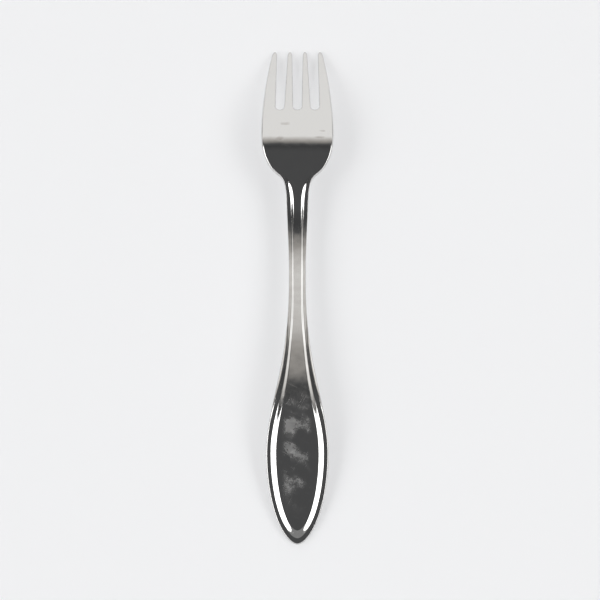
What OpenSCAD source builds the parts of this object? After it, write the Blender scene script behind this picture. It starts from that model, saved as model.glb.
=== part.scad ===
// A four-tine table fork lying face down: it rests on the tips of its tines and on the end of its handle.
// X runs across the fork, Y along it with the tines at +Y, and Z up. The origin is on the table, under
// the middle of the fork. One strip of steel makes the whole fork, so the regions meet face to face.

/* [Overall] */
// Straight length from the tips of the tines to the end of the handle
fork_length = 190; // [175:1:210]
// How far the rounded edge of the neck and the handle reaches in from the outline
stem_edge_round = 0.2; // [0.15:0.05:0.4]

/* [Tines] */
// Length of a slot between two tines, from the tips to its round bottom
slot_length = 28; // [22:0.5:34]
// Width of a slot at its round bottom
slot_width = 3.2; // [2.4:0.1:3.6]
// Width of an inner tine where it leaves the head
inner_tine_width = 3.4; // [2.8:0.1:4]
// Width across all the tines at their tips
tip_spread = 19; // [16:0.5:23]
// Width of a tine at its tip, before the tip is rounded off
tine_tip_width = 1.7; // [1.2:0.1:2.4]
// Length over which a tip is rounded off
tine_tip_round = 2.4; // [1.2:0.1:4]
// Thickness of a tine at its tip
tine_tip_thickness = 1.2; // [0.9:0.1:1.6]
// How far the rounded edge of a tine reaches in from its side
tine_edge_round = 0.35; // [0.2:0.05:0.5]

/* [Head] */
// Width of the head, of which the curves at its two ends take about one percent
head_width = 27.3; // [24:0.1:31]
// Distance from the tips to where the sides of the head start to taper towards them
head_length = 43; // [40:0.5:48]
// Length of the rounded shoulder, from there to the top of the neck
shoulder_length = 18; // [16:0.5:22]
// Height over the neck of the middle of the long slope that rounds the head off
bowl_slope_height = 9.6; // [8.5:0.1:11]
// Softness of that slope
bowl_slope_softness = 2.9; // [2.2:0.1:3.6]
// Height over the neck of the middle of the short step at the shoulder
bowl_corner_height = 7.6; // [6.5:0.1:9]
// Softness of that step
bowl_corner_softness = 0.85; // [0.6:0.05:1.4]
// Share of the shoulder that is slope, and the step takes the rest
bowl_share = 0.72; // [0.5:0.01:0.9]
// How far the rounded outer edge of the head reaches in from the outline
head_edge_round = 0.7; // [0.4:0.05:0.9]
// Height over the neck where the edge changes from the head's rounding to the neck's
edge_change_height = 10; // [9:0.5:12]
// Softness of that change
edge_change_softness = 1; // [0.6:0.1:1.5]
// Thickness of the head
head_thickness = 2; // [1.6:0.1:2.6]

/* [Neck] */
// Width of the neck below the shoulder
neck_top_width = 8.1; // [7.5:0.1:10]
// Least width of the neck
neck_width = 6.4; // [6:0.1:7.4]
// Length of the neck, from the shoulder to its least width
neck_length = 29; // [22:0.5:34]
// Thickness of the neck
neck_thickness = 3.6; // [2.8:0.1:4.4]
// Width of the raised strip along the back of the neck
strip_width = 2.7; // [1.8:0.1:3.4]
// Height of that strip over the border beside it
strip_height = 0.2; // [0.1:0.02:0.4]
// Height of that strip at the top of the neck
strip_top_height = 0.42; // [0.2:0.02:0.6]
// Length over which it falls from the one height to the other
strip_fall_length = 18; // [12:0.5:24]
// Distance below the top of the neck at which the strip starts to spread out into the head
strip_spread_start = 5; // [3:0.5:7]
// Length over which it spreads
strip_spread_length = 14; // [11:0.5:16]

/* [Handle] */
// Greatest width of the handle
handle_width = 22.8; // [20:0.2:26]
// Length of the rounded end, from the widest part of the handle
handle_end_length = 32; // [26:0.5:36]
// Thickness of the handle through its panel
handle_thickness = 2.2; // [1.8:0.1:3]
// How slowly the handle starts to flare out of the neck
flare_power = 1.45; // [1.1:0.05:1.8]
// How pointed the end of the handle is, where 1 makes it half an oval
end_point = 1.12; // [1:0.02:1.3]

/* [Panel] */
// Width of the rim between the raised panel on the back of the handle and the outline
panel_rim = 3.85; // [2.8:0.05:4.6]
// Width of that rim at the end of the handle
panel_end_rim = 5; // [3:0.1:6]
// Height of the panel over the border round it
panel_height = 0.75; // [0.4:0.05:1]
// Share of the rim that its bevel takes, and the border takes the rest
panel_bevel_share = 0.66; // [0.45:0.01:0.75]
// The same share along the neck
strip_bevel_share = 0.45; // [0.3:0.01:0.6]
// Length over which the bevel widens down the handle
bevel_spread_length = 30; // [20:0.5:36]
// How straight the bevel is: 0 makes it a soft wave and 1 a flat slope
bevel_flatness = 0.5; // [0:0.05:0.8]
// Share of the panel's height that the border falls outward, high on the handle
border_fall_share = 0.45; // [0.2:0.05:0.6]
// The same share low on the handle
low_fall_share = 0.05; // [0:0.01:0.2]
// How much of that fall curls over towards the edge
border_curl = 0.6; // [0:0.05:1]
// Height of the rim round the front of the handle over the sunk middle
front_rim_height = 0.35; // [0.2:0.05:0.5]

/* [Side line] */
// Angle at which the tines fall to their tips, in degrees
tine_angle = 24.5; // [20:0.5:28]
// Angle at which the shoulder falls to the neck
shoulder_angle = 10.5; // [8:0.5:13]
// Angle at which the stem climbs from the neck to the handle
stem_angle = 2.5; // [1:0.25:4]
// Angle at the crest of the stem, before the handle falls
crest_angle = 0.6; // [0:0.1:1.5]
// How much the handle levels out again towards its end
level_angle = 5.5; // [3:0.5:7]
// Distance from the tips to the start of the bend over the head
head_bend_start = 25; // [20:0.5:28]
// Length of that bend
head_bend_length = 24; // [20:0.5:30]
// Distance from the tips to the start of the bend under the neck
neck_bend_start = 53.5; // [50:0.5:58]
// Length of that bend
neck_bend_length = 40; // [34:0.5:46]
// Distance from the end to the start of the bend at the crest
crest_start = 81; // [74:0.5:88]
// Length of that bend
crest_length = 14; // [10:0.5:17]
// Distance from the end to the start of the arch in the handle
arch_start = 64; // [58:0.5:70]
// Length of that arch
arch_length = 42; // [36:0.5:48]
// Distance from the end to where the handle starts to level out
level_start = 39; // [34:0.5:44]
// Length over which it levels out
level_length = 38; // [32:0.5:39]

/* [Hidden] */

// Stations along the fork
tip_y = fork_length / 2;
end_y = -fork_length / 2;
root_y = tip_y - slot_length + slot_width / 2;
head_y = tip_y - head_length;
shoulder_y = head_y - shoulder_length;
narrow_y = shoulder_y - neck_length;
handle_y = end_y + handle_end_length;
heel_y = end_y + stem_edge_round;
flare_length = narrow_y - handle_y;
// The handle node takes over from the neck once the flare has begun
neck_end_y = narrow_y - flare_length / 4;

// Slots and tips, counted from the left
tine_count = 4;
slot_pitch = inner_tine_width + slot_width;
tip_pitch = (tip_spread - tine_tip_width) / (tine_count - 1);
function slot_x(i) = (i - (tine_count - 2) / 2) * slot_pitch;
function tip_x(i) = (i - (tine_count - 1) / 2) * tip_pitch;
// The rounding of a tip stops at this angle, which leaves a blunt end
tip_round_angle = 58;
// The edges along a slot start with this share of their rounding, and have it all after a share of the tine
slot_edge_start = 0.1;
slot_edge_share = 0.2;
// In the head the rim has no height, and its lines run along the edge
least_rim = head_edge_round / 2;

// Counts of facets
bevel_steps = 5;
border_steps = 3;
edge_steps = 6;
head_steps = 16;
shoulder_steps = 28;
neck_steps = 30;
flare_steps = 26;
end_steps = 14;
tine_steps = 14;
tip_steps = 5;
slot_facets = 48;
bevel_shares = [for (i = [0 : bevel_steps]) i / bevel_steps];
border_shares = [for (i = [1 : border_steps]) i / border_steps];
edge_angles = [for (i = [1 : edge_steps - 1]) i * 180 / edge_steps];

function mix(a, b, share) = a + (b - a) * share;
function clamp01(u) = min(max(u, 0), 1);
// Smooth step from 0 to 1, and its running sum
function ease(u) = let (v = clamp01(u)) v * v * (3 - 2 * v);
function ease_sum(u) = let (v = clamp01(u)) pow(v, 3) - pow(v, 4) / 2 + max(u - 1, 0);
// Rounded step from 0 on the neck to 1 on the head, at a height over the top of the neck
function step_up(y, height, softness) = 1 / (1 + exp((shoulder_y + height - y) / softness));
// Evenly spaced stations after one place, up to another
function stations(from, to, steps) = [for (i = [1 : steps]) mix(from, to, i / steps)];

// Outline: half the width of the fork at a station, down to the widest part of the handle
function along_flare(y) = clamp01((narrow_y - y) / flare_length);
function head_outline(y) = mix(head_width, tip_spread, pow(max(y - head_y, 0) / head_length, 2)) / 2;
function stem_outline(y) = mix(neck_top_width, neck_width, ease((shoulder_y - y) / neck_length)) / 2;
function into_bowl(y) = mix(
    step_up(y, bowl_corner_height, bowl_corner_softness),
    step_up(y, bowl_slope_height, bowl_slope_softness),
    bowl_share);
function neck_outline(y) = mix(stem_outline(y), head_outline(y), into_bowl(y));
function half_width(y) = mix(neck_outline(y), handle_width / 2, ease(pow(along_flare(y), flare_power)));
function edge_round(y) =
    mix(stem_edge_round, head_edge_round, step_up(y, edge_change_height, edge_change_softness));
function edge_start(y) = half_width(y) - edge_round(y);

// The raised strip on the back of the neck widens into the panel at one end and into the head at the other
function into_handle(y) = ease(along_flare(y));
function into_head(y) = pow(clamp01((y - shoulder_y + strip_spread_start) / strip_spread_length), 2);
function rim(y) = mix(neck_outline(y) - strip_width / 2, panel_rim, into_handle(y));
function panel_half(y) = mix(half_width(y) - rim(y), edge_start(y) - least_rim, into_head(y));
function strip_rise(y) = mix(strip_top_height, strip_height, ease((shoulder_y - y) / strip_fall_length));
function back_relief(y) = mix(strip_rise(y), panel_height, into_handle(y)) * (1 - ease(into_head(y)));
function front_relief(y) = front_rim_height * into_handle(y);
// The bevel is narrow along the neck, and wide low on the handle and where the strip runs into the head
function bevel_spread(y) =
    ease((handle_y + bevel_spread_length - y) / bevel_spread_length) + ease(2 * into_head(y));
function bevel_share(y) = mix(strip_bevel_share, panel_bevel_share, bevel_spread(y));
function bevel_shape(s) = mix(ease(s), s, bevel_flatness);
// The border falls outward, most of it close to the edge
function border_fall(y) =
    back_relief(y) * mix(border_fall_share * ease(2 * into_handle(y)), low_fall_share, bevel_spread(y));
function border_shape(s) = mix(s, pow(s, 3), border_curl);

// Thickness through the middle
function thickness(y) =
    head_thickness
    + (tine_tip_thickness - head_thickness) * ease((y - root_y) / (tip_y - root_y))
    + (neck_thickness - head_thickness) * ease((head_y - y) / shoulder_length)
    + (handle_thickness - neck_thickness) * into_handle(y);

// Side line of the back: straight stretches joined by bends, each of which changes the slope smoothly
tine_slope = -tan(tine_angle);
shoulder_slope = tan(shoulder_angle);
stem_slope = -tan(stem_angle);
crest_slope = -tan(crest_angle);
level_change = -tan(level_angle);
function bend(y, start, length, change) = -change * length * ease_sum((start - y) / length);
function back_line(y, handle_slope) =
    tine_tip_thickness + tine_slope * (y - tip_y)
    + bend(y, tip_y - head_bend_start, head_bend_length, shoulder_slope - tine_slope)
    + bend(y, tip_y - neck_bend_start, neck_bend_length, stem_slope - shoulder_slope)
    + bend(y, end_y + crest_start, crest_length, crest_slope - stem_slope)
    + bend(y, end_y + arch_start, arch_length, handle_slope - crest_slope)
    + bend(y, end_y + level_start, level_length, level_change);
// The slope of the handle brings the underside of its end down to the table, level with the tips
heel_height = thickness(heel_y) + front_relief(heel_y);
heel_drop = back_line(heel_y, 1) - back_line(heel_y, 0);
rest_slope = (heel_height - back_line(heel_y, 0)) / heel_drop;
function back(y) = back_line(y, rest_slope);

// Half a section, as lines from the middle of the back round the edge to the middle of the front:
// how far each line is from the axis, and its height over the middle of the back
function offsets(middle, panel, edge, share, rounding) =
    let (foot = mix(panel, edge, share))
    concat(
        [middle],
        [for (s = bevel_shares) mix(panel, foot, s)],
        [for (s = border_shares) mix(foot, edge, s)],
        [for (a = edge_angles) edge + rounding * sin(a)],
        [for (s = border_shares) mix(edge, foot, s - 1 / border_steps)],
        [for (s = bevel_shares) mix(foot, panel, s)],
        [middle]);
function levels(y) =
    let (
        fall = border_fall(y),
        drop = back_relief(y) - fall,
        sink = front_relief(y),
        through = thickness(y),
        top = -drop - fall,
        bottom = -through - sink,
        centre = (top + bottom) / 2,
        half = (top - bottom) / 2)
    concat(
        [0],
        [for (s = bevel_shares) -drop * bevel_shape(s)],
        [for (s = border_shares) -drop - fall * border_shape(s)],
        [for (a = edge_angles) centre + half * cos(a)],
        [for (s = border_shares) bottom],
        [for (s = bevel_shares) -through - sink * (1 - bevel_shape(s))],
        [-through]);
last_line = len(levels(0)) - 1;

// A whole ring from its right half, whose first and last points lie on the axis
function mirrored(half) =
    concat(half, [for (j = [last_line - 1 : -1 : 1]) [-half[j].x, half[j].y, half[j].z]]);
function ring(y) =
    let (
        x = offsets(0, panel_half(y), edge_start(y), bevel_share(y), edge_round(y)),
        z = levels(y))
    mirrored([for (j = [0 : last_line]) [x[j], y, back(y) + z[j]]]);
// Past the widest part of the handle, each line is close to a quarter of an oval and ends on the axis
panel_reach = handle_end_length - panel_end_rim;
edge_reach = handle_end_length - stem_edge_round;
function end_ring(angle) =
    let (
        x = offsets(0, panel_half(handle_y), edge_start(handle_y), panel_bevel_share, stem_edge_round),
        reach = offsets(panel_reach, panel_reach, edge_reach, panel_bevel_share, stem_edge_round))
    mirrored([for (j = [0 : last_line])
        let (y = handle_y - reach[j] * sin(angle))
        [x[j] * pow(cos(angle), end_point), y, back(y) + levels(y)[j]]]);

// Sides of one tine, counted from the left: straight along the slots, and on the outline outside
function along_tine(y) = (y - root_y) / (tip_y - root_y);
function tine_left(i, y) = i == 0
    ? -half_width(y)
    : mix(slot_x(i - 1) + slot_width / 2, tip_x(i) - tine_tip_width / 2, along_tine(y));
function tine_right(i, y) = i == tine_count - 1
    ? half_width(y)
    : mix(slot_x(i) - slot_width / 2, tip_x(i) + tine_tip_width / 2, along_tine(y));
function outer_round(y) = mix(head_edge_round, tine_edge_round, along_tine(y));
function slot_round(y) = tine_edge_round * mix(slot_edge_start, 1, ease(along_tine(y) / slot_edge_share));
// A ring round one tine, narrowed to a share of its width
function tine_ring(i, y, share) =
    let (
        middle = (tine_left(i, y) + tine_right(i, y)) / 2,
        half = (tine_right(i, y) - tine_left(i, y)) / 2 * share,
        left_round = i == 0 ? outer_round(y) : slot_round(y),
        right_round = i == tine_count - 1 ? outer_round(y) : slot_round(y),
        deep = thickness(y) / 2,
        z = back(y) - deep)
    concat(
        [for (k = [0 : edge_steps])
            let (a = 180 * k / edge_steps)
            [middle + half - right_round * (1 - sin(a)), y, z + deep * cos(a)]],
        [for (k = [edge_steps : -1 : 0])
            let (a = 180 * k / edge_steps)
            [middle - half + left_round * (1 - sin(a)), y, z + deep * cos(a)]]);

// A solid through rings of points. Its caps join point k of a ring to point pairing - k in narrow strips.
// A folded last ring lies flat on the axis and closes the solid by itself.
module skin(rings, pairing, folded = false) {
    count = len(rings[0]);
    last = len(rings) - 1;
    low = count / 2;
    // On a folded ring both halves share their points, and the middle lines end on the panel's point
    function half_index(j) = j <= low ? j : count - j;
    function fold(j) = min(max(half_index(j), 1), low - 1);
    function id(i, j) =
        let (k = (j + count) % count)
        i * count + (folded && i == last ? fold(k) : k);
    function real(t) = t[0] != t[1] && t[1] != t[2] && t[2] != t[0];
    sides = [for (i = [0 : last - 1], j = [0 : count - 1]) each [
        [id(i, j), id(i + 1, j), id(i + 1, j + 1)],
        [id(i, j), id(i + 1, j + 1), id(i, j + 1)]]];
    strips = [for (k = [ceil((pairing - count) / 2) : floor(pairing / 2) - 1]) each [
        [k, k + 1, pairing - k - 1],
        [k, pairing - k - 1, pairing - k]]];
    first_cap = [for (t = strips) [for (k = t) id(0, k)]];
    last_cap = folded ? [] : [for (t = strips) [id(last, t[2]), id(last, t[1]), id(last, t[0])]];
    polyhedron(
        points = [for (r = rings) each r],
        faces = [for (t = concat(first_cap, sides, last_cap)) if (real(t)) t],
        convexity = 8);
}

module handle() {
    color("gainsboro")
        skin(concat(
            [for (y = concat([neck_end_y], stations(neck_end_y, handle_y, flare_steps))) ring(y)],
            [for (angle = stations(0, 90, end_steps)) end_ring(angle)]),
            pairing = last_line, folded = true);
}

module neck() {
    color("silver")
        skin(
            [for (y = concat([shoulder_y], stations(shoulder_y, neck_end_y, neck_steps))) ring(y)],
            pairing = last_line);
}

// The slots end in half-rounds cut into the edge of the head
module head() {
    head_stations = concat(
        [root_y],
        stations(root_y, head_y, head_steps),
        stations(head_y, shoulder_y, shoulder_steps));
    color("lightgray")
        difference() {
            skin([for (y = head_stations) ring(y)], pairing = last_line);
            for (i = [0 : tine_count - 2])
                translate([slot_x(i), root_y, 0])
                    cylinder(d = slot_width, h = back(head_y) + head_thickness, $fn = slot_facets);
        }
}

module tine(i) {
    round_y = tip_y - tine_tip_round;
    function narrowed(y) = sqrt(1 - pow(max(y - round_y, 0) / tine_tip_round * sin(tip_round_angle), 2));
    tine_stations = concat(
        [tip_y],
        stations(tip_y, round_y, tip_steps),
        stations(round_y, root_y, tine_steps));
    color("whitesmoke")
        skin([for (y = tine_stations) tine_ring(i, y, narrowed(y))], pairing = 2 * edge_steps + 1);
}

module left_outer_tine() { tine(0); }
module left_inner_tine() { tine(1); }
module right_inner_tine() { tine(2); }
module right_outer_tine() { tine(3); }

handle();
neck();
head();
left_outer_tine();
left_inner_tine();
right_inner_tine();
right_outer_tine();
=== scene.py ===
import math
from collections import namedtuple

import bpy
import numpy as np
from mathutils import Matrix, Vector
from mathutils.geometry import delaunay_2d_cdt


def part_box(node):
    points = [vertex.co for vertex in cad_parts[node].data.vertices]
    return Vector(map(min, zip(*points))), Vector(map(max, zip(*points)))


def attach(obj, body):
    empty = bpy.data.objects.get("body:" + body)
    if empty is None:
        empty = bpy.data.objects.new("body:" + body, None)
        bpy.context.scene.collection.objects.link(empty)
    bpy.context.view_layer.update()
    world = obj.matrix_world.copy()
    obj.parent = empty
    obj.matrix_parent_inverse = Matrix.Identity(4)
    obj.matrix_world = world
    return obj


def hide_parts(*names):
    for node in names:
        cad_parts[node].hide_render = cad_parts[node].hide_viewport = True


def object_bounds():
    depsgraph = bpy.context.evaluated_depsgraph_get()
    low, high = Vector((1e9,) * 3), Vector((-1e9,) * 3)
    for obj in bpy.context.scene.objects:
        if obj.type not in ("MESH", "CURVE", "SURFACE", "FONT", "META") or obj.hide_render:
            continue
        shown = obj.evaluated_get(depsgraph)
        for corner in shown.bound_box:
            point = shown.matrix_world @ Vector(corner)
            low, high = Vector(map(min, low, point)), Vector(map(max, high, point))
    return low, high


# A polished steel table fork that lies face down. Each region of the fork is its own closed piece, and the
# pieces share their points and normals where they meet, so that the steel looks unbroken.

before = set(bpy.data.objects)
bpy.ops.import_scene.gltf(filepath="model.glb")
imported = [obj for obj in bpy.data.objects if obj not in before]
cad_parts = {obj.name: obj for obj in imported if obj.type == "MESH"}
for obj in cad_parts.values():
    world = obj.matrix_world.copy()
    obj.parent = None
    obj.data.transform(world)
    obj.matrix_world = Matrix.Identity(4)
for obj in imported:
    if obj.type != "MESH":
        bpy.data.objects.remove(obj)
cad_low, cad_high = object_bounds()

# Sizes are in millimetres. The stations along the fork come from the frame.
MM = 0.001
TIP_Y = cad_high.y / MM
END_Y = cad_low.y / MM
ROOT_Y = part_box("head")[1].y / MM
SHOULDER_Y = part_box("head")[0].y / MM
NECK_END_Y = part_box("neck")[0].y / MM

# Outline
HEAD_WIDTH = 27.3
HANDLE_WIDTH = 22.8
SHOULDER_LENGTH = 18.0
NECK_LENGTH = 29.0
HANDLE_END_LENGTH = 32.0
TIP_SPREAD = 19.0
NECK_TOP_WIDTH = 8.1
NECK_WIDTH = 6.4
# How late the handle flares out, and how pointed its end is
FLARE_POWER = 1.45
END_POINT = 1.12
# Where the head is widest, the neck narrowest and the handle widest, and the lengths between
HEAD_Y = SHOULDER_Y + SHOULDER_LENGTH
HEAD_LENGTH = TIP_Y - HEAD_Y
NARROW_Y = SHOULDER_Y - NECK_LENGTH
HANDLE_Y = END_Y + HANDLE_END_LENGTH
FLARE_LENGTH = NARROW_Y - HANDLE_Y

# The shoulder mixes a long slope with a short step: for each, how high over the neck it is, and its softness
BOWL_SLOPE = (9.6, 2.9)
BOWL_CORNER = (7.6, 0.85)
BOWL_SHARE = 0.72

# Slots and tines
TINE_COUNT = 4
SLOT_WIDTH = 3.2
INNER_TINE_WIDTH = 3.4
TINE_TIP_WIDTH = 1.7
SLOT_PITCH = INNER_TINE_WIDTH + SLOT_WIDTH
TIP_PITCH = (TIP_SPREAD - TINE_TIP_WIDTH) / (TINE_COUNT - 1)
# A tip ends in half an oval: its length, and its power along the tine
TINE_TIP_ROUND = 2.4
TINE_TIP_POWER = 3.0
# At its root the way outward from a tine is straight across, and over this length it turns to the edge
ROOT_TURN_LENGTH = 4.8

# How far in from the outline each edge starts to round off, and where that changes from the neck to the head
HEAD_EDGE_ROUND = 0.7
STEM_EDGE_ROUND = 0.2
HANDLE_EDGE_ROUND = 0.45
TINE_EDGE_ROUND = 0.35
EDGE_CHANGE = (10.0, 1.0)

# Thickness
TINE_TIP_THICKNESS = 1.2
HEAD_THICKNESS = 2.0
NECK_THICKNESS = 3.6
HANDLE_THICKNESS = 2.2

# The raised strip along the neck is highest at its top, and spreads out from just below the head
STRIP_WIDTH = 2.7
STRIP_HEIGHT = 0.2
STRIP_TOP_HEIGHT = 0.42
STRIP_FALL_LENGTH = 18.0
STRIP_SPREAD_START = 5.0
STRIP_SPREAD_LENGTH = 14.0
# Where it has spread out, it ends this far inside the rounded edge
LEAST_RIM = 0.35

# The raised panel on the handle, and the width of the border beside it and at its end
PANEL_HEIGHT = 0.75
PANEL_RIM = 3.85
PANEL_END_RIM = 5.0
# How much wider the border is half way down the handle, and where that starts and how long it is, as shares
# of the flare
RIM_SWELL = 0.55
RIM_SWELL_PLACE = (0.35, 0.6)
# Share of the border that is bevel, beside the strip and beside the panel, how straight the bevel is, and
# the length over which its share changes on the handle
STRIP_BEVEL_SHARE = 0.45
PANEL_BEVEL_SHARE = 0.66
BEVEL_FLATNESS = 0.5
BEVEL_SPREAD_LENGTH = 30.0
# Share of the height that is left to the border's own fall, high and low on the handle, and how much of that
# fall comes close to the edge
BORDER_FALL_SHARE = 0.45
LOW_FALL_SHARE = 0.05
BORDER_CURL = 0.6
# The front of the handle has a shallow rim
FRONT_RIM_HEIGHT = 0.35

# Side line: slopes of the straight stretches, the last change of slope, and where the bends start and
# how long they are
TINE_SLOPE = -math.tan(math.radians(24.5))
SHOULDER_SLOPE = math.tan(math.radians(10.5))
STEM_SLOPE = -math.tan(math.radians(2.5))
CREST_SLOPE = -math.tan(math.radians(0.6))
LEVEL_CHANGE = -math.tan(math.radians(5.5))
HEAD_BEND = (TIP_Y - 25.0, 24.0)
NECK_BEND = (TIP_Y - 53.5, 40.0)
CREST_BEND = (END_Y + 81.0, 14.0)
ARCH_BEND = (END_Y + 64.0, 42.0)
LEVEL_BEND = (END_Y + 39.0, 38.0)

# Fineness of the meshes
STATION_STEP = 0.6
END_STEPS = 64
PANEL_STEPS = 8
BEVEL_STEPS = 12
BORDER_STEPS = 7
EDGE_STEPS = 14
ARC_STEPS = 28
TIP_STEPS = 14
FILL_STEP = 0.55
# The head is ruled in sections up to a margin below the slots, and filled between the slots above that
FILL_MARGIN = 3.0
FILL_Y = ROOT_Y - SLOT_WIDTH / 2 - FILL_MARGIN
# Filling keeps the triangles inside a loop, and takes places this close together as one
FILL_INSIDE = 1
FILL_TOLERANCE = 1e-6
# Points are welded on a grid with this many steps to a millimetre
WELD_STEPS = 1e5


def mix(start, end, share):
    return start + (end - start) * share


def ease(share):
    """Smooth step from 0 to 1."""
    part = np.clip(share, 0.0, 1.0)
    return part * part * (3.0 - 2.0 * part)


def ease_sum(share):
    """The integral of ease: level before 0, and a straight rise after 1."""
    part = np.clip(share, 0.0, 1.0)
    return part**3 - part**4 / 2 + np.maximum(share - 1.0, 0.0)


def step_up(y, place):
    """Rounded step from 0 on the neck to 1 on the head, at a place given over the top of the neck."""
    middle, softness = place
    return 1.0 / (1.0 + np.exp((SHOULDER_Y + middle - y) / softness))


# Outline and relief at a station
def along_flare(y):
    return np.clip((NARROW_Y - y) / FLARE_LENGTH, 0.0, 1.0)


def into_handle(y):
    return ease(along_flare(y))


def into_head(y):
    return np.clip((y - SHOULDER_Y + STRIP_SPREAD_START) / STRIP_SPREAD_LENGTH, 0.0, 1.0) ** 2


def along_tine(y):
    return (y - ROOT_Y) / (TIP_Y - ROOT_Y)


def neck_outline(y):
    head = mix(HEAD_WIDTH, TIP_SPREAD, (np.maximum(y - HEAD_Y, 0.0) / HEAD_LENGTH) ** 2) / 2
    neck = mix(NECK_TOP_WIDTH, NECK_WIDTH, ease((SHOULDER_Y - y) / NECK_LENGTH)) / 2
    return mix(neck, head, mix(step_up(y, BOWL_CORNER), step_up(y, BOWL_SLOPE), BOWL_SHARE))


def half_width(y):
    return mix(neck_outline(y), HANDLE_WIDTH / 2, ease(along_flare(y) ** FLARE_POWER))


def edge_round(y):
    stem = mix(STEM_EDGE_ROUND, HANDLE_EDGE_ROUND, into_handle(y))
    return mix(stem, HEAD_EDGE_ROUND, step_up(y, EDGE_CHANGE))


def edge_start(y):
    return half_width(y) - edge_round(y)


def bevel_spread(y):
    """The bevel is narrow along the neck, and wide low on the handle and where the neck meets the head."""
    low = ease((HANDLE_Y + BEVEL_SPREAD_LENGTH - y) / BEVEL_SPREAD_LENGTH)
    return low + ease(2 * into_head(y))


def panel_half(y):
    """Half the width of the strip along the neck, and of the panel that it opens into."""
    start, length = RIM_SWELL_PLACE
    along = (along_flare(y) - start) / length
    rim = mix(neck_outline(y) - STRIP_WIDTH / 2, PANEL_RIM, into_handle(y))
    rim = rim + RIM_SWELL * ease(2 * along) * ease(2 - 2 * along)
    return mix(half_width(y) - rim, edge_start(y) - LEAST_RIM, into_head(y))


def relief(y):
    """Drop of the back's bevel, fall of its border, thickness in the middle, height of the front's rim."""
    strip = mix(STRIP_TOP_HEIGHT, STRIP_HEIGHT, ease((SHOULDER_Y - y) / STRIP_FALL_LENGTH))
    rise = mix(strip, PANEL_HEIGHT, into_handle(y)) * (1.0 - ease(into_head(y)))
    fall = rise * mix(BORDER_FALL_SHARE * ease(2 * into_handle(y)), LOW_FALL_SHARE, bevel_spread(y))
    return np.array([rise - fall, fall, thickness(y), FRONT_RIM_HEIGHT * into_handle(y)])


def thickness(y):
    return (
        HEAD_THICKNESS
        + (TINE_TIP_THICKNESS - HEAD_THICKNESS) * ease(along_tine(y))
        + (NECK_THICKNESS - HEAD_THICKNESS) * ease((HEAD_Y - y) / SHOULDER_LENGTH)
        + (HANDLE_THICKNESS - NECK_THICKNESS) * into_handle(y)
    )


def bend(y, place, change):
    """What a bend adds to the side line, whose slope has changed by that much past the bend."""
    start, length = place
    return -change * length * ease_sum((start - y) / length)


def back_line(y, handle_slope):
    """Height of the middle of the back, from the tips along the bends to the handle."""
    return (
        TINE_TIP_THICKNESS
        + TINE_SLOPE * (y - TIP_Y)
        + bend(y, HEAD_BEND, SHOULDER_SLOPE - TINE_SLOPE)
        + bend(y, NECK_BEND, STEM_SLOPE - SHOULDER_SLOPE)
        + bend(y, CREST_BEND, CREST_SLOPE - STEM_SLOPE)
        + bend(y, ARCH_BEND, handle_slope - CREST_SLOPE)
        + bend(y, LEVEL_BEND, LEVEL_CHANGE)
    )


# The slope of the handle brings the underside of its end down to the table: there the back is as high as the
# handle's thickness and the front's rim together
HEEL_Y = END_Y + STEM_EDGE_ROUND
HEEL_HEIGHT = relief(HEEL_Y)[2:].sum()
LEVEL_HEEL = back_line(HEEL_Y, 0.0)
REST_SLOPE = (HEEL_HEIGHT - LEVEL_HEEL) / (back_line(HEEL_Y, 1.0) - LEVEL_HEEL)


def back(y):
    return back_line(y, REST_SLOPE)


def crowded(steps):
    """Places from 0 towards 1 that crowd at 1, which keeps the edge there crisp."""
    return 1.0 - (1.0 - np.arange(steps) / steps) ** 2


EDGE_ANGLES = np.linspace(0, math.pi, EDGE_STEPS + 1)


# Lines that run along the fork, from the middle of the back round the edge to the middle of the front.
# A line's place across is a mix of the panel's edge, the bevel's foot, the start of the rounded edge and the
# rounding. Its depth under the middle of the back is a mix of the bevel's drop, the border's fall, the
# thickness and the front's rim.
def section_lines():
    panel = [((share, 0, 0, 0), (0, 0)) for share in crowded(PANEL_STEPS)]
    bevel = []
    for share in np.linspace(0, 1, BEVEL_STEPS + 1):
        bevel.append(((1 - share, share, 0, 0), (mix(float(ease(share)), share, BEVEL_FLATNESS), 0)))
    border = []
    for share in crowded(BORDER_STEPS)[1:]:
        border.append(((0, 1 - share, share, 0), (1, mix(share, share**3, BORDER_CURL))))
    face = panel + bevel + border
    edge = []
    for angle in EDGE_ANGLES:
        low = (1 - math.cos(angle)) / 2
        edge.append(((0, 0, 1, math.sin(angle)), (1 - low, 1 - low, low, low)))
    lines = [(across, (*drop, 0, 0)) for across, drop in face] + edge
    lines += [(across, (0, 0, 1, drop[0])) for across, drop in reversed(face)]
    across, depth = zip(*lines)
    return np.array(across, float), np.array(depth, float)


ACROSS, DEPTH = section_lines()
FIRST_EDGE_LINE = PANEL_STEPS + BEVEL_STEPS + BORDER_STEPS


def places_across(y):
    """The places that the lines are mixed from."""
    share = mix(STRIP_BEVEL_SHARE, PANEL_BEVEL_SHARE, bevel_spread(y))
    foot = mix(panel_half(y), edge_start(y), share)
    return np.array([panel_half(y), foot, edge_start(y), edge_round(y)])


def section(y):
    """The right half of the section at a station."""
    x = ACROSS @ places_across(y)
    z = back(y) - DEPTH @ relief(y)
    return np.column_stack([x, np.full(len(x), y), z])


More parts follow.
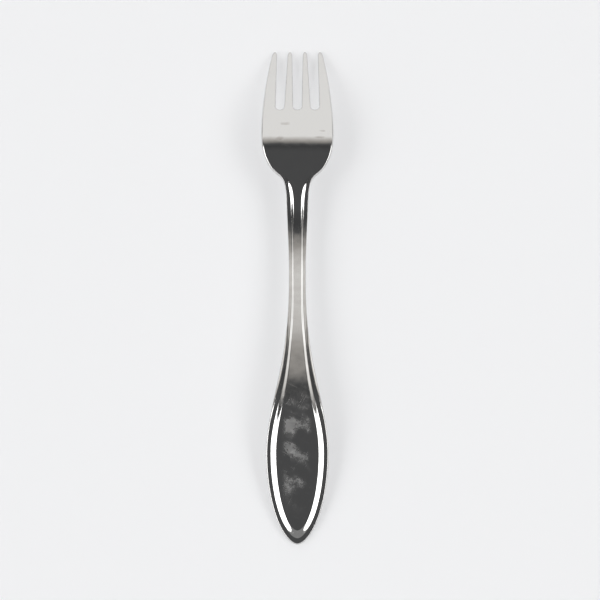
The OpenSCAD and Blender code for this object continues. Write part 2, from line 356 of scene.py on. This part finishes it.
def end_section(angle):
    """Past the widest part of the handle each line is a quarter of an oval that ends on the axis."""
    panel_reach = HANDLE_END_LENGTH - PANEL_END_RIM
    edge_reach = HANDLE_END_LENGTH - HANDLE_EDGE_ROUND
    foot_reach = mix(panel_reach, edge_reach, PANEL_BEVEL_SHARE)
    reach = ACROSS @ np.array([panel_reach, foot_reach, edge_reach, HANDLE_EDGE_ROUND])
    x = ACROSS @ places_across(HANDLE_Y)
    y = HANDLE_Y - reach * math.sin(angle)
    z = back(y) - (DEPTH * relief(y).T).sum(axis=1)
    return np.column_stack([x * abs(math.cos(angle)) ** END_POINT, y, z])


class Skin:
    """One welded surface whose faces belong to named pieces. Caps close the pieces where they meet."""

    def __init__(self):
        self.points = []
        self.index = {}
        self.faces = {}
        self.caps = {}

    def point(self, p):
        key = tuple(round(float(c) * WELD_STEPS) for c in p)
        if key not in self.index:
            self.index[key] = len(self.points)
            self.points.append(tuple(float(c) for c in p))
        return self.index[key]

    def face(self, piece, corners):
        loop = []
        for p in corners:
            i = self.point(p)
            if i not in loop:
                loop.append(i)
        if len(loop) > 2:
            self.faces.setdefault(piece, []).append(loop)

    def grid(self, piece, rows):
        for upper, lower in zip(rows, rows[1:]):
            for k in range(len(upper) - 1):
                self.face(piece, (upper[k], lower[k], lower[k + 1], upper[k + 1]))

    def cap(self, front_piece, back_piece, loop):
        ids = [self.point(p) for p in loop]
        self.caps.setdefault(front_piece, []).append(ids)
        self.caps.setdefault(back_piece, []).append(ids[::-1])


def mirrored(rows):
    """The left half of a run of sections, with its lines in the opposite order to keep its faces outward."""
    return [(row * (-1, 1, 1))[::-1] for row in rows]


def whole_ring(half):
    """The closed loop of a section, from its right half."""
    return list(half) + [p * (-1, 1, 1) for p in half[-2:0:-1]]


def stations(start, end):
    """Even places along the fork, at most a station's step apart."""
    return np.linspace(start, end, 2 + int(abs(end - start) / STATION_STEP))


def add_body(skin):
    runs = {
        "head": [section(y) for y in stations(FILL_Y, SHOULDER_Y)],
        "neck": [section(y) for y in stations(SHOULDER_Y, NECK_END_Y)],
        "handle": [section(y) for y in stations(NECK_END_Y, HANDLE_Y)]
        + [end_section(angle) for angle in np.linspace(0, math.pi / 2, END_STEPS + 1)[1:]],
    }
    for piece, rows in runs.items():
        skin.grid(piece, rows)
        skin.grid(piece, mirrored(rows))
    skin.cap("head", "neck", whole_ring(section(SHOULDER_Y)))
    skin.cap("neck", "handle", whole_ring(section(NECK_END_Y)))


# Slots and tines, counted from the left
def slot_x(i):
    return (i - (TINE_COUNT - 2) / 2) * SLOT_PITCH


def tip_x(i):
    return (i - (TINE_COUNT - 1) / 2) * TIP_PITCH


def is_outside(i, right):
    return i == (TINE_COUNT - 1 if right else 0)


def tine_side(i, y, right):
    """Side of a tine: on the outline outside, and straight along a slot."""
    sign = 1 if right else -1
    if is_outside(i, right):
        return sign * half_width(y)
    root = slot_x(i if right else i - 1) - sign * SLOT_WIDTH / 2
    return mix(root, tip_x(i) + sign * TINE_TIP_WIDTH / 2, along_tine(y))


def side_round(i, y, right):
    """Rounding of a tine's edge. Outside it goes on from the head's, as far as half way along the tine."""
    root = HEAD_EDGE_ROUND if is_outside(i, right) else TINE_EDGE_ROUND
    return mix(root, TINE_EDGE_ROUND, ease(2 * along_tine(y)))


def edge_strip(inner, outward, rounding):
    """Rounded edge at one place: points from the back, round the side, to the front."""
    strip = []
    for angle in EDGE_ANGLES:
        x, y = inner + outward * rounding * math.sin(angle)
        deep = thickness(inner[1]) / 2
        middle = back(y) - thickness(y) / 2
        strip.append(np.array([x, y, middle + deep * math.cos(angle)]))
    return strip


def tine_half(i, right):
    """One side of a tine's outline, from its root to the middle of its tip, with the rounding there."""
    round_y = TIP_Y - TINE_TIP_ROUND
    levels = [(y, 1.0) for y in stations(ROOT_Y, round_y)]
    for angle in np.linspace(0, math.pi / 2, TIP_STEPS + 1)[1:]:
        y = round_y + TINE_TIP_ROUND * math.sin(angle) ** (2 / TINE_TIP_POWER)
        levels.append((y, math.cos(angle)))
    outline = []
    for y, share in levels:
        left_x, right_x = tine_side(i, y, False), tine_side(i, y, True)
        reach = (right_x - left_x) / 2 * share
        x = (left_x + right_x) / 2 + (reach if right else -reach)
        outline.append((x, y, side_round(i, y, right)))
    return outline


def tine_edge(i):
    """Places along the edge of a tine, from its root on the left round its tip to its root on the right:
    the inner start of the rounding, the way outward, and the rounding."""
    left, right = tine_half(i, False), tine_half(i, True)
    outline = left + right[-2::-1]
    places = []
    for k, (x, y, rounding) in enumerate(outline):
        before, after = outline[max(k - 1, 0)], outline[min(k + 1, len(outline) - 1)]
        normal = np.array([before[1] - after[1], after[0] - before[0]])
        normal /= np.linalg.norm(normal)
        straight = np.array([-1.0 if k < len(left) else 1.0, 0.0])
        outward = mix(straight, normal, ease((y - ROOT_Y) / ROOT_TURN_LENGTH))
        outward /= np.linalg.norm(outward)
        places.append((np.array([x, y]) - outward * rounding, outward, rounding))
    return places


def slot_arc(i):
    """Places along the round bottom of a slot, from its right side to its left side."""
    places = []
    reach = SLOT_WIDTH / 2 + TINE_EDGE_ROUND
    for angle in np.linspace(0, -math.pi, ARC_STEPS + 1):
        radial = np.array([math.cos(angle), math.sin(angle)])
        places.append((np.array([slot_x(i), ROOT_Y]) + radial * reach, -radial, TINE_EDGE_ROUND))
    return places


def root_segment(i):
    """Places across the root of a tine, from left to right, between its rounded edges."""
    left = tine_side(i, ROOT_Y, False) + side_round(i, ROOT_Y, False)
    right = tine_side(i, ROOT_Y, True) - side_round(i, ROOT_Y, True)
    count = 2 + int((right - left) / FILL_STEP)
    return [np.array([x, ROOT_Y]) for x in np.linspace(left, right, count)]


def on_back(places):
    return [(x, y, back(y)) for x, y in places]


def on_front(places):
    return [(x, y, back(y) - thickness(y)) for x, y in places]


def inside(place, loop):
    """True inside a loop, where a line to the right crosses the loop an odd number of times."""
    x, y = place
    found = False
    for (start_x, start_y), (end_x, end_y) in zip(loop, loop[1:] + loop[:1]):
        if (start_y > y) != (end_y > y):
            if x < start_x + (y - start_y) / (end_y - start_y) * (end_x - start_x):
                found = not found
    return found


def fill(skin, piece, loop):
    """Fills a loop on the back and on the front with a fine net of triangles."""
    ring = np.array(loop)
    low, high = ring.min(axis=0), ring.max(axis=0)
    places = list(loop)
    for y in np.arange(low[1] + FILL_STEP, high[1], FILL_STEP):
        for x in np.arange(low[0] + FILL_STEP / 2, high[0], FILL_STEP):
            place = np.array([x, y])
            clear = np.min(np.hypot(*(ring - place).T)) > FILL_STEP / 2
            if clear and inside(place, loop):
                places.append(place)
    edges = [(k, (k + 1) % len(loop)) for k in range(len(loop))]
    net = delaunay_2d_cdt([Vector(p) for p in places], edges, [], FILL_INSIDE, FILL_TOLERANCE)
    triangles, sources = net[2:4]
    for triangle in triangles:
        corners = [places[sources[k][0]] for k in triangle]
        skin.face(piece, on_back(corners))
        skin.face(piece, on_front(corners)[::-1])


def add_head_front(skin):
    """The plate of the head between its last ruled section and the roots of the tines."""
    top_line = section(FILL_Y)[: FIRST_EDGE_LINE + 1]
    across = [np.array([-p[0], p[1]]) for p in top_line[:0:-1]] + [p[:2] for p in top_line]
    side_ys = stations(FILL_Y, ROOT_Y)
    right_side = [(np.array([edge_start(y), y]), np.array([1.0, 0.0]), HEAD_EDGE_ROUND) for y in side_ys]
    left_side = [(p * (-1, 1), -outward, rounding) for p, outward, rounding in right_side]
    loop = across + [p for p, _, _ in right_side[1:]]
    strips = [right_side, left_side[::-1]]
    for i in reversed(range(TINE_COUNT)):
        loop += root_segment(i)[-2::-1]
        if i > 0:
            arc = slot_arc(i - 1)
            loop += [p for p, _, _ in arc[1:]]
            strips.append(arc)
    loop += [p for p, _, _ in left_side[-2:0:-1]]
    fill(skin, "head", loop)
    for places in strips:
        skin.grid("head", [edge_strip(*place) for place in places][::-1])


def add_tine(skin, i, piece):
    root = root_segment(i)
    places = tine_edge(i)
    fill(skin, piece, [p for p, _, _ in places][::-1] + root[1:-1])
    strips = [edge_strip(*place) for place in places]
    skin.grid(piece, strips)
    cap = on_back(root) + strips[-1][1:-1] + on_front(root)[::-1] + strips[0][-2:0:-1]
    skin.cap(piece, "head", cap)


TINES = ("left_outer_tine", "left_inner_tine", "right_inner_tine", "right_outer_tine")


def build_skin():
    skin = Skin()
    add_body(skin)
    add_head_front(skin)
    for i, piece in enumerate(TINES):
        add_tine(skin, i, piece)
    return skin


def smooth_normals(skin):
    """Normals of the whole unbroken surface, which every piece keeps at its cuts."""
    mesh = bpy.data.meshes.new("whole")
    every_face = [loop for loops in skin.faces.values() for loop in loops]
    mesh.from_pydata(skin.points, [], every_face)
    normals = np.empty(len(mesh.vertices) * 3)
    mesh.vertex_normals.foreach_get("vector", normals)
    bpy.data.meshes.remove(mesh)
    return normals.reshape(-1, 3)


def make_piece(skin, normals, node, material):
    loops = skin.faces[node]
    caps = skin.caps.get(node, [])
    used = sorted({point for loop in loops + caps for point in loop})
    number = {point: k for k, point in enumerate(used)}
    mesh = bpy.data.meshes.new(node + "_steel")
    corners = [[number[point] for point in loop] for loop in loops + caps]
    mesh.from_pydata([Vector(skin.points[point]) * MM for point in used], [], corners)
    mesh.polygons.foreach_set("use_smooth", [True] * len(loops) + [False] * len(caps))
    corner_normals = [tuple(normals[point]) for loop in loops for point in loop]
    # A normal of zero leaves a cap its own
    corner_normals += [(0.0, 0.0, 0.0) for loop in caps for _ in loop]
    mesh.normals_split_custom_set(corner_normals)
    mesh.materials.append(material)
    piece = bpy.data.objects.new(node + "_steel", mesh)
    bpy.context.collection.objects.link(piece)
    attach(piece, "root")
    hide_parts(node)


# Small helpers for node trees
def add_node(tree, kind, **settings):
    node = tree.nodes.new(kind)
    for name, value in settings.items():
        setattr(node, name, value)
    return node


def maths(tree, operation, first, second):
    node = add_node(tree, "ShaderNodeMath", operation=operation)
    for socket, value in zip(node.inputs, (first, second)):
        if isinstance(value, (int, float)):
            socket.default_value = value
        else:
            tree.links.new(value, socket)
    return node.outputs[0]


def joined(tree, operation, values):
    """One value out of a list, worked out from the left."""
    found = values[0]
    for value in values[1:]:
        found = maths(tree, operation, found, value)
    return found


def plus_share(tree, value, other, share):
    """A value and a share of another one."""
    return maths(tree, "ADD", value, maths(tree, "MULTIPLY", other, share))


def remap(tree, value, low, high, to_low=0.0, to_high=1.0, kind="SMOOTHSTEP"):
    """Goes from to_low to to_high as the value goes from low to high, and stays level past both ends."""
    node = add_node(tree, "ShaderNodeMapRange", interpolation_type=kind)
    tree.links.new(value, node.inputs["Value"])
    limits = {"From Min": low, "From Max": high, "To Min": to_low, "To Max": to_high}
    for name, number in limits.items():
        node.inputs[name].default_value = number
    return node.outputs["Result"]


def noise(tree, place, size, turn=0.0, detail=2.0):
    """Noise whose features have a size in metres, after a turn about Z."""
    mapping = add_node(tree, "ShaderNodeMapping", vector_type="TEXTURE")
    tree.links.new(place, mapping.inputs["Vector"])
    mapping.inputs["Rotation"].default_value = (0.0, 0.0, turn)
    mapping.inputs["Scale"].default_value = size
    texture = add_node(tree, "ShaderNodeTexNoise")
    tree.links.new(mapping.outputs[0], texture.inputs["Vector"])
    texture.inputs["Scale"].default_value = 1.0
    texture.inputs["Detail"].default_value = detail
    return texture.outputs[0]


def apart(tree, vector):
    """The three parts of a vector."""
    node = add_node(tree, "ShaderNodeSeparateXYZ")
    tree.links.new(vector, node.inputs[0])
    return node.outputs


def scaled(tree, colour, share):
    node = add_node(tree, "ShaderNodeVectorMath", operation="SCALE")
    tree.links.new(colour, node.inputs[0])
    tree.links.new(share, node.inputs["Scale"])
    return node.outputs[0]


def bump(tree, height, depth, normal=None):
    node = add_node(tree, "ShaderNodeBump")
    tree.links.new(height, node.inputs["Height"])
    node.inputs["Distance"].default_value = depth
    if normal:
        tree.links.new(normal, node.inputs["Normal"])
    return node.outputs[0]


# Steel: its colours, and the roughness of its polish where there is no mark
STEEL_COLOUR = (0.70, 0.695, 0.685, 1.0)
SPOT_COLOUR = (0.58, 0.565, 0.55, 1.0)
POLISH = 0.05
# How much each mark dulls the polish
DULLING = {"streaks": 0.04, "scratches": 0.12, "stains": 0.32, "spots": 0.05}
# Depths in metres, and the share of the streaks in the depth of the scratches
WAVE_DEPTH = 8e-5
SCRATCH_DEPTH = 6e-7
STREAK_SHARE = 0.3
# Sizes of the marks across, along and through, in metres, their turns in radians, and their noise's detail
WAVE_SIZE = (0.008, 0.010, 0.008)
STREAK_SIZE = (0.00025, 0.02, 0.00025)
STREAK_DETAIL = 3.0
SCRATCH_SIZE = (0.00014, 0.011, 0.004)
SCRATCH_TURNS = (-0.5, 0.25, 1.1)
STAIN_SIZE = (0.006, 0.009, 0.02)
STAIN_TURN = 1.2
STAIN_DETAIL = 5.0
GRAIN_SIZE = (0.0008, 0.0008, 0.0008)
GRAIN_DETAIL = 4.0
# The levels of noise between which scratches and stains come up
SCRATCH_LEVELS = (0.66, 0.72)
STAIN_LEVELS = (0.38, 0.64)
# Grains thin the stains: between which levels of noise, and what is left of a stain at both
GRAIN_LEVELS = (0.35, 0.70)
GRAIN_SHARES = (0.7, 1.0)
# Where the stains fade out and where they are full, across and at both ends, in metres
STAIN_SIDE = (0.0065, 0.0035)
STAIN_TOP = (-0.038, -0.046)
STAIN_END = (-0.088, -0.074)
# Dried drops on the head: places and sizes across and along, in metres
SPOTS = (
    ((-0.0046, 0.0605), (0.0019, 0.0006)),
    ((-0.0066, 0.0545), (0.0014, 0.0007)),
    ((0.0093, 0.0574), (0.0012, 0.0004)),
    ((0.0083, 0.0549), (0.0019, 0.0004)),
)
# How ragged the rim of a drop is, the middle of the noise that moves it, and the squared reach where it ends
SPOT_RAGGEDNESS = 3.0
NOISE_MIDDLE = 0.5
SPOT_REACH = 1.6


def scratches(tree, place):
    """Hairlines in several directions."""
    lines = [noise(tree, place, SCRATCH_SIZE, turn) for turn in SCRATCH_TURNS]
    return joined(tree, "MAXIMUM", [remap(tree, line, *SCRATCH_LEVELS) for line in lines])


def spot(tree, x, y, ragged, middle, size):
    """1 in the middle of a ragged oval spot, and 0 outside it."""
    reach = ragged
    for place, centre, length in zip((x, y), middle, size):
        part = maths(tree, "DIVIDE", maths(tree, "SUBTRACT", place, centre), length)
        reach = maths(tree, "ADD", maths(tree, "MULTIPLY", part, part), reach)
    return remap(tree, reach, 0.0, SPOT_REACH, 1.0, 0.0)


def spots(tree, x, y, place):
    grains = noise(tree, place, GRAIN_SIZE, detail=GRAIN_DETAIL)
    ragged = maths(tree, "SUBTRACT", grains, NOISE_MIDDLE)
    ragged = maths(tree, "MULTIPLY", ragged, SPOT_RAGGEDNESS)
    return joined(tree, "MAXIMUM", [spot(tree, x, y, ragged, *drop) for drop in SPOTS])


def stains(tree, x, y, place):
    """Dried water on the panel: soft clouds that fade out towards its sides and ends."""
    clouds = noise(tree, place, STAIN_SIZE, STAIN_TURN, detail=STAIN_DETAIL)
    grains = noise(tree, place, GRAIN_SIZE, detail=GRAIN_DETAIL)
    aside = maths(tree, "ABSOLUTE", x, 0.0)
    shares = [
        remap(tree, clouds, *STAIN_LEVELS),
        remap(tree, grains, *GRAIN_LEVELS, *GRAIN_SHARES),
        remap(tree, aside, *STAIN_SIDE),
        remap(tree, y, *STAIN_TOP),
        remap(tree, y, *STAIN_END),
    ]
    return joined(tree, "MULTIPLY", shares)


def steel_marks(tree, place):
    """Each kind of mark, from 0 to 1."""
    x, y, _ = apart(tree, place)
    return {
        "streaks": noise(tree, place, STREAK_SIZE, detail=STREAK_DETAIL),
        "scratches": scratches(tree, place),
        "stains": stains(tree, x, y, place),
        "spots": spots(tree, x, y, place),
    }


def polished_steel():
    material = bpy.data.materials.new("polished_steel")
    material.use_nodes = True
    tree = material.node_tree
    shader = tree.nodes["Principled BSDF"]
    shader.inputs["Metallic"].default_value = 1.0
    place = add_node(tree, "ShaderNodeTexCoord").outputs["Object"]
    marks = steel_marks(tree, place)
    colour = add_node(tree, "ShaderNodeMix", data_type="RGBA")
    tree.links.new(marks["spots"], colour.inputs["Factor"])
    colour.inputs["A"].default_value = STEEL_COLOUR
    colour.inputs["B"].default_value = SPOT_COLOUR
    tree.links.new(colour.outputs["Result"], shader.inputs["Base Color"])
    roughness = POLISH
    for name, share in DULLING.items():
        roughness = maths(tree, "ADD", maths(tree, "MULTIPLY", marks[name], share), roughness)
    tree.links.new(roughness, shader.inputs["Roughness"])
    waves = bump(tree, noise(tree, place, WAVE_SIZE), WAVE_DEPTH)
    lines = plus_share(tree, marks["scratches"], marks["streaks"], STREAK_SHARE)
    tree.links.new(bump(tree, lines, SCRATCH_DEPTH, waves), shader.inputs["Normal"])
    return material


# The studio: a pale table, a bright wall beyond the tines, a soft light on each side, and a dark ceiling.
# Each edge in it is a plane through the object, and its slope is how far it leans for each step up.

# The wall's upper edge: its slope, its softness, and how much it tilts up to the right
WALL_EDGE = 0.2867
WALL_SOFT = 0.113
WALL_TILT = 0.03
# On each side a dark patch cuts into that edge: how deep, and the slope and softness of its two sides
PATCH_DEPTH = 0.12
PATCH_EDGES = ((0.15, 0.08), (0.38, 0.16))
# The upper part of the wall is brighter on both sides: the slope and softness of where that starts aside and
# of where it ends lower down, and its level
SIDE_WALL = (0.37, 0.1)
SIDE_WALL_END = (0.55, 0.12)
SIDE_WALL_LEVEL = 0.7
# Colours through the wall's soft edge, from the ceiling to the wall, each with its share of the way
WALL_COLOURS = (
    (0.0, (0.058, 0.059, 0.061)),
    (0.33, (0.38, 0.361, 0.338)),
    (0.78, (0.74, 0.723, 0.701)),
    (1.0, (0.95, 0.945, 0.935)),
)
# Faint light before the wall's edge, away from it and close to it: between which places it changes, and its
# level at both
FAINT_LIGHTS = ((-0.27, -0.15, 0.027, 0.0), (-0.165, -0.105, 0.0, 0.03))
# The side lights spread apart behind the fork, their ends slant, and their edges are a little soft
SIDE_SPREAD = 0.28
SIDE_SLANT = 0.1
SIDE_SOFT = 0.03
# For each side light: its side, the slopes of its inner and outer edges, its end before the wall, its level
SIDE_LIGHTS = ((-1.0, 0.42, 6.0, 0.14, 3.6), (1.0, 0.46, 1.5, 0.17, 3.3))
# A light behind the handle: the slope of its upper edge, the edge's softness, and its level
BACK_LIGHT = (0.62, 0.08, 0.22)
# The wall is darker off to its sides: the slope of its side edges, the share of height in them, their
# softness, and how much light is left past them
WALL_SIDES = (0.55, 0.5, 0.15, 0.4)
# Near the horizon the studio is darker: between which heights, how much higher that is at the sides, and
# how much light is left there
HORIZON = (0.04, 0.36)
HORIZON_SIDE = 0.4
HORIZON_LEVEL = 0.3

# A direction in the world: to the right, along the fork, up, and how far to either side
Way = namedtuple("Way", ("x", "y", "z", "aside"))


def soft_edge(tree, past, soft, before=0.0, after=1.0):
    return remap(tree, past, -soft, soft, before, after)


def past_wall_edge(tree, way):
    sides = []
    for slope, soft in PATCH_EDGES:
        sides.append(soft_edge(tree, plus_share(tree, way.aside, way.z, -slope), soft))
    patch = joined(tree, "SUBTRACT", sides)
    past = plus_share(tree, way.y, way.z, -WALL_EDGE)
    past = plus_share(tree, past, way.x, WALL_TILT)
    return plus_share(tree, past, patch, -PATCH_DEPTH)


def wall_colour(tree, share):
    ramp = add_node(tree, "ShaderNodeValToRGB")
    tree.links.new(share, ramp.inputs["Fac"])
    stops = ramp.color_ramp.elements
    for place, _ in WALL_COLOURS[1:-1]:
        stops.new(place)
    for stop, (_, colour) in zip(stops, WALL_COLOURS):
        stop.color = (*colour, 1.0)
    return ramp.outputs["Color"]


def side_light(tree, way, side, inner, outer, end, level):
    sideways = maths(tree, "MULTIPLY", way.x, side)
    past_inner = plus_share(tree, plus_share(tree, sideways, way.z, -inner), way.y, SIDE_SPREAD)
    past_outer = plus_share(tree, sideways, way.z, -outer)
    past_end = plus_share(tree, plus_share(tree, way.y, way.z, -end), way.aside, SIDE_SLANT)
    light = soft_edge(tree, past_inner, SIDE_SOFT, 0.0, level)
    limits = [soft_edge(tree, past, SIDE_SOFT, 1.0, 0.0) for past in (past_outer, past_end)]
    return joined(tree, "MULTIPLY", [light, *limits])


def side_wall(tree, way, share):
    slope, soft = SIDE_WALL
    start = soft_edge(tree, plus_share(tree, way.aside, way.z, -slope), soft)
    slope, soft = SIDE_WALL_END
    end = soft_edge(tree, plus_share(tree, way.y, way.z, -slope), soft, 1.0, 0.0)
    return joined(tree, "MULTIPLY", [maths(tree, "MULTIPLY", share, SIDE_WALL_LEVEL), start, end])


def back_light(tree, way):
    slope, soft, level = BACK_LIGHT
    return soft_edge(tree, plus_share(tree, way.y, way.z, slope), soft, level, 0.0)


def studio_light(tree, way):
    """The colour of the studio in a direction."""
    past = past_wall_edge(tree, way)
    share = remap(tree, past, -WALL_SOFT, WALL_SOFT, kind="LINEAR")
    lights = [remap(tree, past, *limits) for limits in FAINT_LIGHTS]
    lights += [side_light(tree, way, *light) for light in SIDE_LIGHTS]
    lights += [side_wall(tree, way, share), back_light(tree, way)]
    slope, rise, soft, level = WALL_SIDES
    off_side = maths(tree, "MAXIMUM", plus_share(tree, way.aside, way.y, -slope), 0.0)
    wall_level = soft_edge(tree, plus_share(tree, off_side, way.z, -rise), soft, 1.0, level)
    total = add_node(tree, "ShaderNodeVectorMath", operation="ADD")
    tree.links.new(scaled(tree, wall_colour(tree, share), wall_level), total.inputs[0])
    tree.links.new(joined(tree, "ADD", lights), total.inputs[1])
    height = plus_share(tree, way.z, off_side, -HORIZON_SIDE)
    return scaled(tree, total.outputs[0], remap(tree, height, *HORIZON, HORIZON_LEVEL, 1.0))


def make_world():
    world = bpy.data.worlds.new("studio")
    bpy.context.scene.world = world
    world.use_nodes = True
    tree = world.node_tree
    x, y, z = apart(tree, add_node(tree, "ShaderNodeTexCoord").outputs["Generated"])
    way = Way(x, y, z, maths(tree, "ABSOLUTE", x, 0.0))
    tree.links.new(studio_light(tree, way), tree.nodes["Background"].inputs["Color"])


# The table is flat in the middle and sweeps up all round, in metres
TABLE_FLAT = 2.0
TABLE_RADIUS = 3.0
TABLE_RISE = 0.5
TABLE_SIDES = 96
SWEEP_STEPS = 16
TABLE_COLOUR = (0.92, 0.924, 0.936, 1.0)
# Share of the table's look that is plain colour without shade, which keeps the shadow on it faint
TABLE_GLOW = 0.45


def table_mesh():
    points = [(0.0, 0.0, 0.0)]
    for step in range(SWEEP_STEPS + 1):
        share = step / SWEEP_STEPS
        radius = mix(TABLE_FLAT, TABLE_RADIUS, share)
        for side in range(TABLE_SIDES):
            angle = 2 * math.pi * side / TABLE_SIDES
            points.append((radius * math.cos(angle), radius * math.sin(angle), TABLE_RISE * share**2))
    faces = []
    for side in range(TABLE_SIDES):
        here, after = 1 + side, 1 + (side + 1) % TABLE_SIDES
        faces.append((0, here, after))
        for step in range(SWEEP_STEPS):
            inner, outer = step * TABLE_SIDES, (step + 1) * TABLE_SIDES
            faces.append((here + inner, here + outer, after + outer, after + inner))
    mesh = bpy.data.meshes.new("table")
    mesh.from_pydata(points, [], faces)
    mesh.polygons.foreach_set("use_smooth", [True] * len(faces))
    return mesh


def make_table():
    table = bpy.data.objects.new("table", table_mesh())
    bpy.context.collection.objects.link(table)
    material = bpy.data.materials.new("pale_table")
    material.use_nodes = True
    tree = material.node_tree
    paper = tree.nodes["Principled BSDF"]
    paper.inputs["Base Color"].default_value = TABLE_COLOUR
    paper.inputs["Roughness"].default_value = 1.0
    paper.inputs["Specular IOR Level"].default_value = 0.0
    glow = add_node(tree, "ShaderNodeEmission")
    glow.inputs["Color"].default_value = TABLE_COLOUR
    path = add_node(tree, "ShaderNodeLightPath")
    seen = path.outputs["Is Camera Ray"]
    for name in ("Is Glossy Ray", "Is Transmission Ray"):
        seen = maths(tree, "MAXIMUM", seen, path.outputs[name])
    blend = add_node(tree, "ShaderNodeMixShader")
    tree.links.new(maths(tree, "MULTIPLY", seen, TABLE_GLOW), blend.inputs["Fac"])
    tree.links.new(paper.outputs[0], blend.inputs[1])
    tree.links.new(glow.outputs[0], blend.inputs[2])
    tree.links.new(blend.outputs[0], tree.nodes["Material Output"].inputs["Surface"])
    table.data.materials.append(material)


# The camera looks down along the fork from the side of its handle, in metres and degrees
VIEW_ELEVATION = 76.0
VIEW_DISTANCE = 0.7
VIEW_TARGET = Vector((0.00097, -0.005, 0.006))
VIEW_WIDTH = 0.2225
SENSOR_WIDTH = 36.0


def make_camera():
    data = bpy.data.cameras.new("camera")
    camera = bpy.data.objects.new("camera", data)
    bpy.context.collection.objects.link(camera)
    elevation = math.radians(VIEW_ELEVATION)
    away = Vector((0.0, -math.cos(elevation), math.sin(elevation)))
    camera.location = VIEW_TARGET + away * VIEW_DISTANCE
    camera.rotation_euler = (math.pi / 2 - elevation, 0.0, 0.0)
    data.sensor_width = SENSOR_WIDTH
    data.lens = SENSOR_WIDTH * VIEW_DISTANCE / VIEW_WIDTH
    bpy.context.scene.camera = camera


make_camera()
make_world()
make_table()
steel = polished_steel()
skin = build_skin()
normals = smooth_normals(skin)
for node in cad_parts:
    make_piece(skin, normals, node, steel)
bpy.context.scene.view_settings.view_transform = "Standard"
